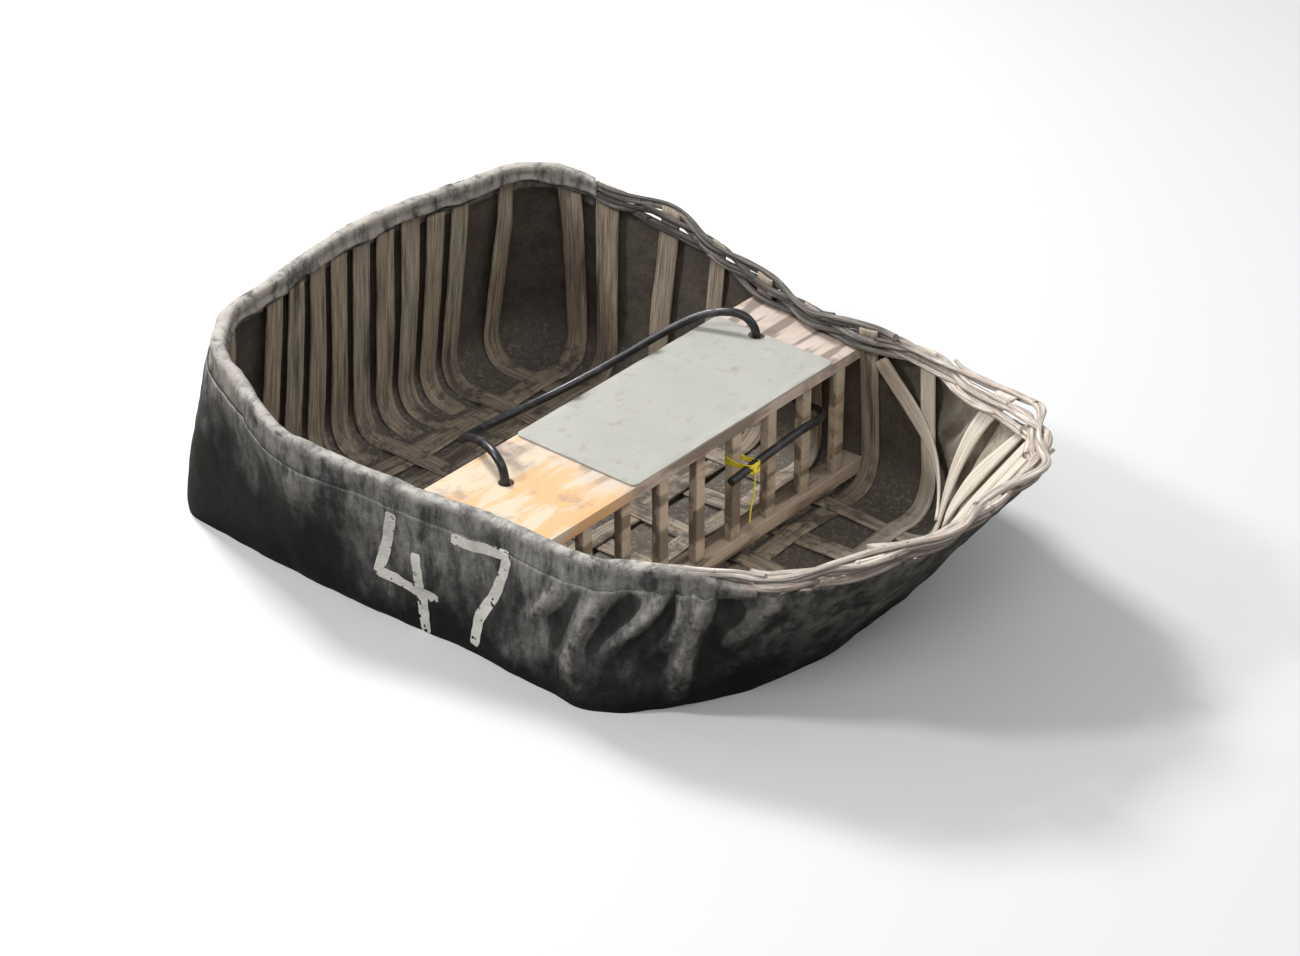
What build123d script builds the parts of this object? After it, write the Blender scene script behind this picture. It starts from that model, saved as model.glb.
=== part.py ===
from build123d import *
import math
import os

# Coracle, millimetres. +X is the bow, +Y is port, +Z is up, the floor of the boat is at Z = 0.

# Hull form: half outlines from the middle of the bow to the stern, mirrored to starboard.
# Each corner has x, y and rounding at the turn of the bilge, then x, y and height at the
# gunwale, and the rounding where the form ends above it.
HULL_CORNERS = [
    ("bow_middle", 731, 0, 1500, 724, 0, 478, 1200),
    ("bow_quarter", 734, 478, 85, 659, 428, 445, 165),
    ("shoulder", 380, 490, 500, 400, 566, 400, 300),
    ("waist", -35, 478, 500, -35, 445, 344, 400),
    ("hip", -290, 485, 110, -250, 468, 350, 300),
    ("stern_quarter", -420, 265, 180, -590, 350, 408, 200),
    ("stern_middle", -450, 120, 150, -720, 150, 440, 160),
]
HULL_TOP = 500          # height at which the plain hull form ends, above the gunwale
BILGE_HEIGHT = 60       # from the floor to the turn of the bilge
BILGE_WIDTH = 50        # from the flat floor out to the turn of the bilge
BILGE_MIDDLE = (0.3, 0.24)    # its middle: share of the width, share of the height

# Sheer line, seen from the side
SHEER_STERN = 446       # height 740 mm aft
SHEER_WAIST = 343
SHEER_BOW = 480         # height 740 mm forward
SHEER_REACH = 740
SHEER_LOW_X = -90
SHEER_MARGIN = 40       # how far the space under the sheer line goes past its ends

SKIN = 3                # tarred calico
FIT = 0.3               # clearance between pieces that lie on each other
LATH = 5                # thickness of a lath
LATH_ROOM = 2           # from a lath's edge to the bend of the lath that crosses it
BILGE_ROOM = 4          # from the end of the weave to the turn of the bilge
LATH_TOP_DROP = 1       # laths are cut off just below the sheer line
WITHY = 9               # diameter of a gunwale rod
COURSES = 4
COURSE_PITCH = 10.5
WEAVE_ROOM = 3.5        # clearance of a rod beside a lath, measured level
TOP_COURSE = 6          # from the sheer line down to the middle of the top rod
SKIN_TOP_DROP = 2       # from the lowest rod down to the top edge of the skin
WITHY_BEND = 60         # radius of a rod's bends
STRAIGHT = 0.5          # a rod runs straight past a lath that bulges less than this
BEND_SHARE = 0.45       # part of a route's shorter side that a bend may use
ARC_STEPS = 12          # steps along a rounding of the outline, to find the laths' places
RIM_ROUNDS = 4          # rounds in which a point at the gunwale finds its height
REACH = 1500            # more than the boat in any direction

# Long laths: distance from the middle line. They weave with the cross laths.
LONG_LATH_PITCH = 122
LONG_LATH_WIDTH = 44
LONG_LATHS_A_SIDE = 3
# Cross laths: x, width, phase of the weave, 1 where it runs up the sides
CROSS_LATHS = [
    (-325, 40, 0, 0),
    (-255, 40, 1, 1),
    (-122, 40, 0, 1),
    (10, 40, 1, 1),
    (140, 40, 0, 1),
    (270, 40, 1, 1),
    (400, 42, 0, 1),
    (522, 54, 1, 1),
    (597, 54, 1, 1),
]
FLOOR_END_HALF = 284    # half length of the cross lath that stays on the floor
END_LATH_WIDTH = 44     # short laths between the long ones, up the bow and the stern
END_LATH_PLACES = (-1.5, -0.5, 0.5, 1.5)    # in long lath pitches from the middle line
END_LATH_STERN_X = -386
END_LATH_BOW_X = 640
# Braces: a lath inside the others at each side of the stern, leaning forward as it rises.
# Middle of its foot and of its head, seen from the side: x, z
BRACE_FOOT = (-342, 64)
BRACE_HEAD = (-150, 290)
BRACE_WIDTH = 36

# Seat
SEAT_TOP = 300
SEAT_THICK = 22
SEAT_REAR = -106
SEAT_WIDTH = 270
MAT_THICK = 4
MAT_CORNER = 12
MAT_PORT = 182
MAT_STARBOARD = -372
# Strap holes: x, y
STRAP_HOLES = [(72, 308), (62, -362)]
STRAP_HOLE = 28
MAT_HOLE_ROOM = 2       # the mat is cut this much wider than the strap hole
SLATS = 9
SLAT_PITCH = 100
SLAT_WIDE = 24
SLAT_DEEP = 18
SLAT_SETBACK = 3
RAIL_TOP = 60
RAIL_THICK = 30
RAIL_WIDE = 46

# Carrying strap: a black hose through both seat holes, its tail tied behind the slats
STRAP = 16
STRAP_ROUTE = [
    (72, 308, 266), (72, 308, 318), (104, 300, 344), (160, 276, 336),
    (220, 240, 302), (284, 190, 252), (340, 122, 204), (368, 44, 176),
    (366, -40, 172), (334, -124, 190), (280, -204, 232), (218, -272, 288),
    (158, -326, 332), (94, -352, 346), (62, -362, 318), (62, -362, 262),
    (46, -360, 226), (6, -357, 208), (-50, -355, 204), (-104, -342, 216),
    (-136, -300, 230), (-140, -240, 238), (-138, -172, 232), (-136, -104, 224),
    (-137, -40, 219),
]
TWINE = 3
TIE_ROOM = 1            # clearance of the twine round the strap
TIE_SLAT_Y = -100
TIE_HEIGHT = 224
TIE_X = -136

# Hem: calico folded over the gunwale along the port side and round the bow
HEM = 2.5
HEM_ROOM = 3            # between the rods and the hem, where the rods bulge
HEM_OUTSIDE = 60
HEM_INSIDE = 36
HEM_STERN_X = -300      # where it stops on the port side
HEM_BOW_X = 540         # round the bow to a point on the starboard side
HEM_BOW_Y = -395

os.makedirs("parts", exist_ok=True)


def inset(corners, distance):
    """Corners of a closed outline, counter-clockwise, moved in by a distance."""
    moved = []
    count = len(corners)
    for i in range(count):
        before, here, after = (Vector(*corners[(i + k) % count]) for k in (-1, 0, 1))
        first = (here - before).normalized()
        second = (after - here).normalized()
        first_in, second_in = Vector(-first.Y, first.X), Vector(-second.Y, second.X)
        bisector = first_in + second_in
        point = here + bisector * (distance / (1 + first_in.dot(second_in)))
        moved.append((point.X, point.Y))
    return moved


def bilge_profile(distance):
    """How far in and how high the sections of the bilge lie, for a form this much smaller."""
    middle = (-BILGE_MIDDLE[0] * BILGE_WIDTH, BILGE_MIDDLE[1] * BILGE_HEIGHT)
    box = [(-REACH, 0), (-BILGE_WIDTH, 0), middle, (0, BILGE_HEIGHT), (0, HULL_TOP),
           (-REACH, HULL_TOP)]
    return [(-x, z) for x, z in inset(box, distance)[1:4]]


def outline(height, distance):
    """Closed outline of the hull at a height, moved in by a distance: corners and roundings."""
    half = []
    rise = (height - BILGE_HEIGHT) / (HULL_TOP - BILGE_HEIGHT)
    for _, x0, y0, r0, x1, y1, z1, r1 in HULL_CORNERS:
        share = (height - BILGE_HEIGHT) / (z1 - BILGE_HEIGHT)
        half.append((x0 + (x1 - x0) * share, y0 + (y1 - y0) * share, r0 + (r1 - r0) * rise))
    full = half + [(x, -y, r) for x, y, r in reversed(half[1:])]
    corners = [(x, y) for x, y, _ in full]
    radii = []
    for i, (x, y, r) in enumerate(full):
        before, after = corners[i - 1], corners[(i + 1) % len(corners)]
        turn = (x - before[0]) * (after[1] - y) - (y - before[1]) * (after[0] - x)
        radii.append(r - distance if turn > 0 else r + distance)
    return inset(corners, distance), radii


def sheer_height(x):
    """Height of the sheer line: a circle through its three driving points."""
    (x1, z1), (x2, z2), (x3, z3) = (-SHEER_REACH, SHEER_STERN), (SHEER_LOW_X, SHEER_WAIST), (
        SHEER_REACH, SHEER_BOW)
    d = 2 * (x1 * (z2 - z3) + x2 * (z3 - z1) + x3 * (z1 - z2))
    s1, s2, s3 = x1 * x1 + z1 * z1, x2 * x2 + z2 * z2, x3 * x3 + z3 * z3
    cx = (s1 * (z2 - z3) + s2 * (z3 - z1) + s3 * (z1 - z2)) / d
    cz = (s1 * (x3 - x2) + s2 * (x1 - x3) + s3 * (x2 - x1)) / d
    radius = math.hypot(x1 - cx, z1 - cz)
    return cz - math.sqrt(radius * radius - (x - cx) ** 2)


def below_sheer(drop):
    """All the space under the sheer line, lowered by a drop."""
    far = SHEER_REACH + SHEER_MARGIN
    stern, waist, bow = ((x, sheer_height(x) - drop) for x in (-far, SHEER_LOW_X, far))
    with BuildPart() as space:
        with BuildSketch(Plane.XZ):
            with BuildLine():
                ThreePointArc(stern, waist, bow)
                Polyline(bow, (far, -SHEER_MARGIN), (-far, -SHEER_MARGIN), stern)
            make_face()
        extrude(amount=far, both=True)
    return space.part


def hull_form(distance):
    """The solid form of the hull, moved in by a distance all round and at the floor."""
    sections = bilge_profile(distance)
    with BuildPart() as form:
        for across, height in sections:
            with BuildSketch(Plane.XY.offset(height)):
                with BuildLine():
                    corners, radii = outline(BILGE_HEIGHT, across)
                    FilletPolyline(*corners, radius=radii, close=True)
                make_face()
        with BuildSketch(Plane.XY.offset(HULL_TOP)):
            with BuildLine():
                corners, radii = outline(HULL_TOP, distance)
                FilletPolyline(*corners, radius=radii, close=True)
            make_face()
        loft(ruled=True)
    return form.part


def bend_radii(route, closed=False, largest=math.inf):
    """The largest smooth bend at each corner of a route, so that bends don't meet."""
    radii = []
    count = len(route)
    for i in range(0 if closed else 1, count if closed else count - 1):
        before, here, after = (Vector(*route[(i + k) % count]) for k in (-1, 0, 1))
        turn = math.radians((here - before).get_angle(after - here))
        shorter = min((here - before).length, (after - here).length)
        radii.append(min(BEND_SHARE * shorter / math.tan(turn / 2), largest))
    return radii


def save(part, name):
    part.label = name
    export_step(part, f"parts/{name}.step")


# Skin, up to the rods of the gunwale
RODS_DEPTH = TOP_COURSE + COURSE_PITCH * (COURSES - 1) + WITHY / 2
with BuildPart() as skin:
    add(hull_form(0))
    add(hull_form(SKIN), mode=Mode.SUBTRACT)
    add(below_sheer(RODS_DEPTH + SKIN_TOP_DROP), mode=Mode.INTERSECT)
save(skin.part, "skin")

# Laths
LOW = SKIN + FIT
HIGH = LOW + LATH + FIT
with BuildPart() as wall_layer:
    add(hull_form(LOW))
    add(hull_form(LOW + LATH), mode=Mode.SUBTRACT)
    add(below_sheer(LATH_TOP_DROP), mode=Mode.INTERSECT)


def rounded(corners, radii):
    """Points along a closed outline: steps along each of its roundings, from end to end."""
    points = []
    for i, radius in enumerate(radii):
        (x0, y0), (x, y), (x1, y1) = (corners[(i + k) % len(corners)] for k in (-1, 0, 1))
        heading = math.atan2(y - y0, x - x0)
        turn = math.remainder(math.atan2(y1 - y, x1 - x) - heading, 2 * math.pi)
        back = radius * math.tan(abs(turn) / 2)
        for step in range(ARC_STEPS + 1):
            half = turn * step / ARC_STEPS / 2
            chord = 2 * radius * math.sin(abs(half))
            points.append((x - back * math.cos(heading) + chord * math.cos(heading + half),
                           y - back * math.sin(heading) + chord * math.sin(heading + half)))
    return points


def outline_points(height, distance):
    """Points round the straight-sided part of a hull form, between its bilge and its top."""
    bilge = rounded(*outline(BILGE_HEIGHT, distance))
    top = rounded(*outline(HULL_TOP, distance))
    turn_height = bilge_profile(distance)[2][1]
    share = (height - turn_height) / (HULL_TOP - turn_height)
    return [(x0 + (x1 - x0) * share, y0 + (y1 - y0) * share)
            for (x0, y0), (x1, y1) in zip(bilge, top)]


def crossing(points, kind, value, side):
    """Where a lath's upright plane, x or y at a value, cuts an outline on one side."""
    for (x0, y0), (x1, y1) in zip(points, points[1:] + points[:1]):
        first, last = (x0 - value, x1 - value) if kind == "x" else (y0 - value, y1 - value)
        if first * last <= 0 and first != last:
            share = first / (first - last)
            x, y = x0 + (x1 - x0) * share, y0 + (y1 - y0) * share
            if (y if kind == "x" else x) * side > 0:
                return x, y
    raise ValueError(f"no lath at {kind} {value}")


def flat_reach(kind, value, side):
    """How far the flat floor reaches along a lath's edge."""
    across = bilge_profile(LOW + LATH)[0][0]
    x, y = crossing(rounded(*outline(BILGE_HEIGHT, across)), kind, value, side)
    return y if kind == "x" else x


def woven_profile(crossings, start, end):
    """Side outline of a lath on the floor: up over one crossing, down under the next."""
    top = [(start, LOW + LATH)]
    for place, width, high in crossings:
        level = (HIGH if high else LOW) + LATH
        half = width / 2 + LATH_ROOM
        top += [(place - half, level), (place + half, level)]
    top.append((end, LOW + LATH))
    kept = [top[0]]
    for i in range(1, len(top) - 1):
        if not (top[i - 1][1] == top[i][1] == top[i + 1][1]):
            kept.append(top[i])
    kept.append(top[-1])
    return kept + [(x, z - LATH) for x, z in reversed(kept)]


cross_table = [(x, width, phase) for x, width, phase, _ in CROSS_LATHS]
tops = []
for i in range(-LONG_LATHS_A_SIDE, LONG_LATHS_A_SIDE + 1):
    y = i * LONG_LATH_PITCH
    edge = abs(y) + LONG_LATH_WIDTH / 2
    bow_end = flat_reach("y", edge, 1) - BILGE_ROOM
    stern_end = flat_reach("y", edge, -1) + BILGE_ROOM
    crossings = [(x, width, (i + phase) % 2) for x, width, phase in cross_table
                 if stern_end < x - width / 2 and x + width / 2 < bow_end]
    with BuildPart() as long_lath:
        add(wall_layer.part)
        with Locations((0, y, HULL_TOP / 2)):
            Box(2 * REACH, LONG_LATH_WIDTH, HULL_TOP * 2, mode=Mode.INTERSECT)
        with Locations(((bow_end + stern_end) / 2, y, HULL_TOP / 2)):
            Box(bow_end - stern_end, LONG_LATH_WIDTH * 2, HULL_TOP * 2, mode=Mode.SUBTRACT)
        with BuildSketch(Plane.XZ.offset(-y)):
            Polygon(*woven_profile(crossings, stern_end, bow_end), align=None)
        extrude(amount=LONG_LATH_WIDTH / 2, both=True)
    save(long_lath.part, f"long_lath_{i + LONG_LATHS_A_SIDE + 1}")
    tops += [("y", y, LONG_LATH_WIDTH, 1), ("y", y, LONG_LATH_WIDTH, -1)]

for number, (x, width, phase, up_sides) in enumerate(CROSS_LATHS):
    reach = FLOOR_END_HALF
    if up_sides:
        reach = min(flat_reach("x", edge, 1) for edge in (x - width / 2, x + width / 2))
        reach -= BILGE_ROOM
    crossings = [(i * LONG_LATH_PITCH, LONG_LATH_WIDTH, (i + phase + 1) % 2)
                 for i in range(-LONG_LATHS_A_SIDE, LONG_LATHS_A_SIDE + 1)
                 if abs(i * LONG_LATH_PITCH) + LONG_LATH_WIDTH / 2 < reach]
    with BuildPart() as cross_lath:
        if up_sides:
            add(wall_layer.part)
            with Locations((x, 0, HULL_TOP / 2)):
                Box(width, 2 * REACH, HULL_TOP * 2, mode=Mode.INTERSECT)
                Box(width * 2, reach * 2, HULL_TOP * 2, mode=Mode.SUBTRACT)
            tops += [("x", x, width, 1), ("x", x, width, -1)]
        with BuildSketch(Plane.YZ.offset(x)):
            Polygon(*woven_profile(crossings, -reach, reach), align=None)
        extrude(amount=width / 2, both=True)
    save(cross_lath.part, f"cross_lath_{number + 1}")

for end, start, toward in (("stern", END_LATH_STERN_X, -1), ("bow", END_LATH_BOW_X, 1)):
    for number, place in enumerate(END_LATH_PLACES):
        y = place * LONG_LATH_PITCH
        with BuildPart() as end_lath:
            add(wall_layer.part)
            with Locations((start + toward * REACH / 2, y, HULL_TOP / 2)):
                Box(REACH, END_LATH_WIDTH, HULL_TOP * 2, mode=Mode.INTERSECT)
            add(below_sheer(RODS_DEPTH + SKIN_TOP_DROP), mode=Mode.INTERSECT)
        save(end_lath.part, f"{end}_lath_{number + 1}")

with BuildPart() as brace_layer:
    add(hull_form(HIGH))
    add(hull_form(HIGH + LATH), mode=Mode.SUBTRACT)
brace_length = math.dist(BRACE_FOOT, BRACE_HEAD)
brace_lean = math.atan2(BRACE_HEAD[1] - BRACE_FOOT[1], BRACE_HEAD[0] - BRACE_FOOT[0])
for name, side in (("starboard", -1), ("port", 1)):
    with BuildPart() as brace:
        add(brace_layer.part)
        with BuildSketch(Plane.XZ):
            with Locations(((BRACE_FOOT[0] + BRACE_HEAD[0]) / 2,
                            (BRACE_FOOT[1] + BRACE_HEAD[1]) / 2)):
                Rectangle(brace_length, BRACE_WIDTH, rotation=math.degrees(brace_lean))
        extrude(amount=-side * REACH, mode=Mode.INTERSECT)
    save(brace.part, f"stern_brace_{name}")

# Gunwale: rods woven in and out of the tops of the laths
LATH_MIDDLE = LOW + LATH / 2
WEAVE = LATH / 2 + WEAVE_ROOM + WITHY / 2


def rim_point(kind, value, side, drop, across):
    """Where a lath's middle plane meets a course of the gunwale."""
    height = SHEER_WAIST
    for _ in range(RIM_ROUNDS):
        x, y = crossing(outline_points(height, across), kind, value, side)
        height = sheer_height(x) - drop
    return x, y, height


def rim_angle(top):
    kind, value, width, side = top
    x, y, _ = rim_point(kind, value, side, 0, LATH_MIDDLE)
    return math.atan2(y, x)


rim = sorted(tops, key=rim_angle)
for course in range(COURSES):
    drop = TOP_COURSE + course * COURSE_PITCH
    route = []
    for number, (kind, value, width, side) in enumerate(rim):
        across = LATH_MIDDLE + WEAVE * (1 if (number + course) % 2 else -1)
        points = [rim_point(kind, value + share * width / 2, side, drop, across)
                  for share in (-1, 0, 1)]
        chord_middle = (Vector(*points[0]) + Vector(*points[2])) / 2
        if (Vector(*points[1]) - chord_middle).length < STRAIGHT:
            del points[1]
        route += sorted(points, key=lambda p: math.atan2(p[1], p[0]) % (2 * math.pi)
                        if kind == "y" and side < 0 else math.atan2(p[1], p[0]))
    with BuildPart() as rod:
        with BuildLine() as path:
            FilletPolyline(*route, radius=bend_radii(route, True, WITHY_BEND), close=True)
        with BuildSketch(Plane(origin=path.line @ 0, z_dir=path.line % 0)):
            Circle(WITHY / 2)
        sweep(path=path.line)
    save(rod.part, f"gunwale_rod_{course + 1}")

# Hem: folded over the rods, outside, on top and inside
ROD_OUT = LATH_MIDDLE - WEAVE - WITHY / 2 - HEM_ROOM
ROD_IN = LATH_MIDDLE + WEAVE + WITHY / 2 + HEM_ROOM
with BuildPart() as hem_stretch:
    with Locations(((HEM_STERN_X + REACH) / 2, REACH / 2, HULL_TOP)):
        Box(REACH - HEM_STERN_X, REACH, 2 * HULL_TOP)
    with Locations(((HEM_BOW_X + REACH) / 2, HEM_BOW_Y / 2, HULL_TOP)):
        Box(REACH - HEM_BOW_X, -HEM_BOW_Y, 2 * HULL_TOP)
with BuildPart() as hem:
    add(hull_form(ROD_OUT - HEM))
    add(hull_form(ROD_IN + HEM), mode=Mode.SUBTRACT)
    add(below_sheer(-FIT - HEM), mode=Mode.INTERSECT)
    add(below_sheer(HEM_OUTSIDE), mode=Mode.SUBTRACT)
    add(hem_stretch.part, mode=Mode.INTERSECT)
with BuildPart() as rod_space:
    add(hull_form(ROD_OUT))
    add(hull_form(ROD_IN), mode=Mode.SUBTRACT)
    add(below_sheer(-FIT), mode=Mode.INTERSECT)
with BuildPart() as inside:
    add(hull_form(LATH_MIDDLE))
    add(below_sheer(HEM_INSIDE), mode=Mode.INTERSECT)
with BuildPart() as hem_cover:
    add(hem.part)
    add(rod_space.part, mode=Mode.SUBTRACT)
    add(inside.part, mode=Mode.SUBTRACT)
save(hem_cover.part, "hem")

# Seat plank, trimmed to lie against the laths, with two strap holes
SEAT_MIDDLE = SEAT_REAR + SEAT_WIDTH / 2
with BuildPart() as seat_plank:
    with Locations((SEAT_MIDDLE, 0, SEAT_TOP - SEAT_THICK / 2)):
        Box(SEAT_WIDTH, REACH, SEAT_THICK)
    add(hull_form(LOW + LATH + FIT), mode=Mode.INTERSECT)
    for x, y in STRAP_HOLES:
        with Locations((x, y, SEAT_TOP - SEAT_THICK / 2)):
            Cylinder(STRAP_HOLE / 2, SEAT_THICK, mode=Mode.SUBTRACT)
save(seat_plank.part, "seat_plank")

with BuildPart() as seat_mat:
    with BuildSketch(Plane.XY.offset(SEAT_TOP)):
        with Locations((SEAT_MIDDLE, (MAT_PORT + MAT_STARBOARD) / 2)):
            RectangleRounded(SEAT_WIDTH, MAT_PORT - MAT_STARBOARD, MAT_CORNER)
        with Locations(STRAP_HOLES[1]):
            Circle(STRAP_HOLE / 2 + MAT_HOLE_ROOM, mode=Mode.SUBTRACT)
    extrude(amount=MAT_THICK)
save(seat_mat.part, "seat_mat")

# Rail across the floor and the slats that carry the rear edge of the seat
RAIL_MIDDLE = SEAT_REAR + RAIL_WIDE / 2
SLAT_X = SEAT_REAR + SLAT_DEEP / 2 + SLAT_SETBACK
with BuildPart() as seat_rail:
    with Locations((RAIL_MIDDLE, 0, RAIL_TOP - RAIL_THICK / 2)):
        Box(RAIL_WIDE, REACH, RAIL_THICK)
    add(hull_form(LOW + LATH + FIT), mode=Mode.INTERSECT)
save(seat_rail.part, "seat_rail")

for number in range(SLATS):
    y = (number - (SLATS - 1) / 2) * SLAT_PITCH
    low, high = RAIL_TOP, SEAT_TOP - SEAT_THICK
    with BuildPart() as slat:
        with Locations((SLAT_X, y, (low + high) / 2)):
            Box(SLAT_DEEP, SLAT_WIDE, high - low)
    save(slat.part, f"seat_slat_{number + 1}")

# Carrying strap
turns = bend_radii(STRAP_ROUTE)
print("carrying strap bends", [round(r) for r in turns])
with BuildPart() as strap:
    with BuildLine() as strap_path:
        FilletPolyline(*STRAP_ROUTE, radius=turns)
    with BuildSketch(Plane(origin=strap_path.line @ 0, z_dir=strap_path.line % 0)):
        Circle(STRAP / 2)
    sweep(path=strap_path.line)
strap_length = sum(edge.length for edge in strap_path.edges())
print("carrying strap", round(strap_length), "mm, volume share",
      round(strap.part.volume / (strap_length * math.pi * STRAP ** 2 / 4), 4))
save(strap.part, "carrying_strap")

# Twine that ties the strap's tail to one slat, with a short end hanging
strap_back = TIE_X - STRAP / 2 - TIE_ROOM
tie_x = (strap_back + SLAT_X) / 2
with BuildPart() as twine_tie:
    with Locations((SLAT_X, TIE_SLAT_Y, TIE_HEIGHT)):
        Box(SLAT_DEEP + 2 * (FIT + TWINE), SLAT_WIDE + 2 * (FIT + TWINE),
            STRAP + 2 * (TIE_ROOM + TWINE))
    with Locations((tie_x - TWINE / 2, TIE_SLAT_Y, TIE_HEIGHT)):
        Box(SLAT_X - strap_back + TWINE, 4 * TWINE, STRAP + 2 * (TIE_ROOM + TWINE))
    with Locations((tie_x, TIE_SLAT_Y, TIE_HEIGHT)):
        Box(SLAT_X - strap_back, 2 * SLAT_WIDE, STRAP + 2 * TIE_ROOM, mode=Mode.SUBTRACT)
    with Locations((SLAT_X, TIE_SLAT_Y, TIE_HEIGHT)):
        Box(SLAT_DEEP + 2 * FIT, SLAT_WIDE + 2 * FIT, 2 * STRAP, mode=Mode.SUBTRACT)
save(twine_tie.part, "twine_tie")

tail_x, tail_y = strap_back - TWINE / 2, TIE_SLAT_Y + TWINE
tail_top = TIE_HEIGHT - STRAP / 2 - TIE_ROOM - TWINE - FIT
TAIL_ROUTE = [(tail_x, tail_y, tail_top), (tail_x, tail_y + 2, tail_top - 32),
              (tail_x + 2, tail_y + 9, tail_top - 62), (tail_x + 1, tail_y + 13, tail_top - 92)]
tail_turns = bend_radii(TAIL_ROUTE)
print("twine tail bends", [round(r) for r in tail_turns])
with BuildPart() as twine_tail:
    with BuildLine() as tail_path:
        FilletPolyline(*TAIL_ROUTE, radius=tail_turns)
    with BuildSketch(Plane(origin=tail_path.line @ 0, z_dir=tail_path.line % 0)):
        Circle(TWINE / 2)
    sweep(path=tail_path.line)
save(twine_tail.part, "twine_tail")
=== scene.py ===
import math

import bmesh
import bpy
import numpy as np
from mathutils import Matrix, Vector, noise
from mathutils.bvhtree import BVHTree


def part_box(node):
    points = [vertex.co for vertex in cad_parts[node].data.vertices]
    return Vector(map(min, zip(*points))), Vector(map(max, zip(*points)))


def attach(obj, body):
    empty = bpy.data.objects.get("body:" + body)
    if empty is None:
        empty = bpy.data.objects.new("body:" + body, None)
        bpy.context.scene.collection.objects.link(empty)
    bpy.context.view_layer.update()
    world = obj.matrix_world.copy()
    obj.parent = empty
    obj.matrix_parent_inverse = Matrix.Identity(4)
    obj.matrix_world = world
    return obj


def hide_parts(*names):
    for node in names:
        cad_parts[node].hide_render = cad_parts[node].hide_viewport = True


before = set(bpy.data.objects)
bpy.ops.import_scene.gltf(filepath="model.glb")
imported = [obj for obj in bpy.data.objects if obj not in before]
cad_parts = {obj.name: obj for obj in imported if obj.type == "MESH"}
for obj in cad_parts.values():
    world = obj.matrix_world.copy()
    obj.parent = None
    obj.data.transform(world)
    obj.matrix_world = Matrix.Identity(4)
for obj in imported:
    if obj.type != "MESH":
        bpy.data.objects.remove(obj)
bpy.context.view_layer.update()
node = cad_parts
scene = bpy.context.scene
scene.view_settings.view_transform = "Standard"

# The view: from above and behind the port quarter, the boat's bow pointing away to the left.
# A long lens, aimed at the middle of the hull.
EYE = Vector((-3.22, 3.86, 3.27))
AIM = Vector((0.0, 0.015, 0.2))
LENS = 93


def facing(place, target):
    """The turn that points a camera or a lamp at a target."""
    return (Vector(target) - Vector(place)).to_track_quat("-Z", "Y").to_euler()


camera = bpy.data.objects.new("view", bpy.data.cameras.new("view"))
camera.location = EYE
camera.rotation_euler = facing(EYE, AIM)
camera.data.lens = LENS
scene.collection.objects.link(camera)
scene.camera = camera


# Carrying strap: a length of black rubber hose through the two holes in the seat, by which
# the boat is worn on the back. Its tail goes under the seat and lies behind the slats.
STRAP_DIAMETER = 0.016
CORD_BEVEL = 6  # how round a cord is, and how finely it bends
CORD_STEPS = 16
STRAP_ROUTE = [
    (0.072, 0.308, 0.266), (0.072, 0.308, 0.318), (0.104, 0.300, 0.344),
    (0.160, 0.276, 0.336), (0.220, 0.240, 0.302), (0.284, 0.190, 0.252),
    (0.340, 0.122, 0.204), (0.368, 0.044, 0.176), (0.366, -0.040, 0.172),
    (0.334, -0.124, 0.190), (0.280, -0.204, 0.232), (0.218, -0.272, 0.288),
    (0.158, -0.326, 0.332), (0.094, -0.352, 0.346), (0.062, -0.362, 0.318),
    (0.062, -0.362, 0.262), (0.046, -0.360, 0.226), (0.006, -0.357, 0.208),
    (-0.050, -0.355, 0.204), (-0.104, -0.342, 0.216), (-0.136, -0.300, 0.230),
    (-0.140, -0.240, 0.238), (-0.138, -0.172, 0.232), (-0.136, -0.104, 0.224),
    (-0.137, -0.040, 0.219),
]


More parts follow.
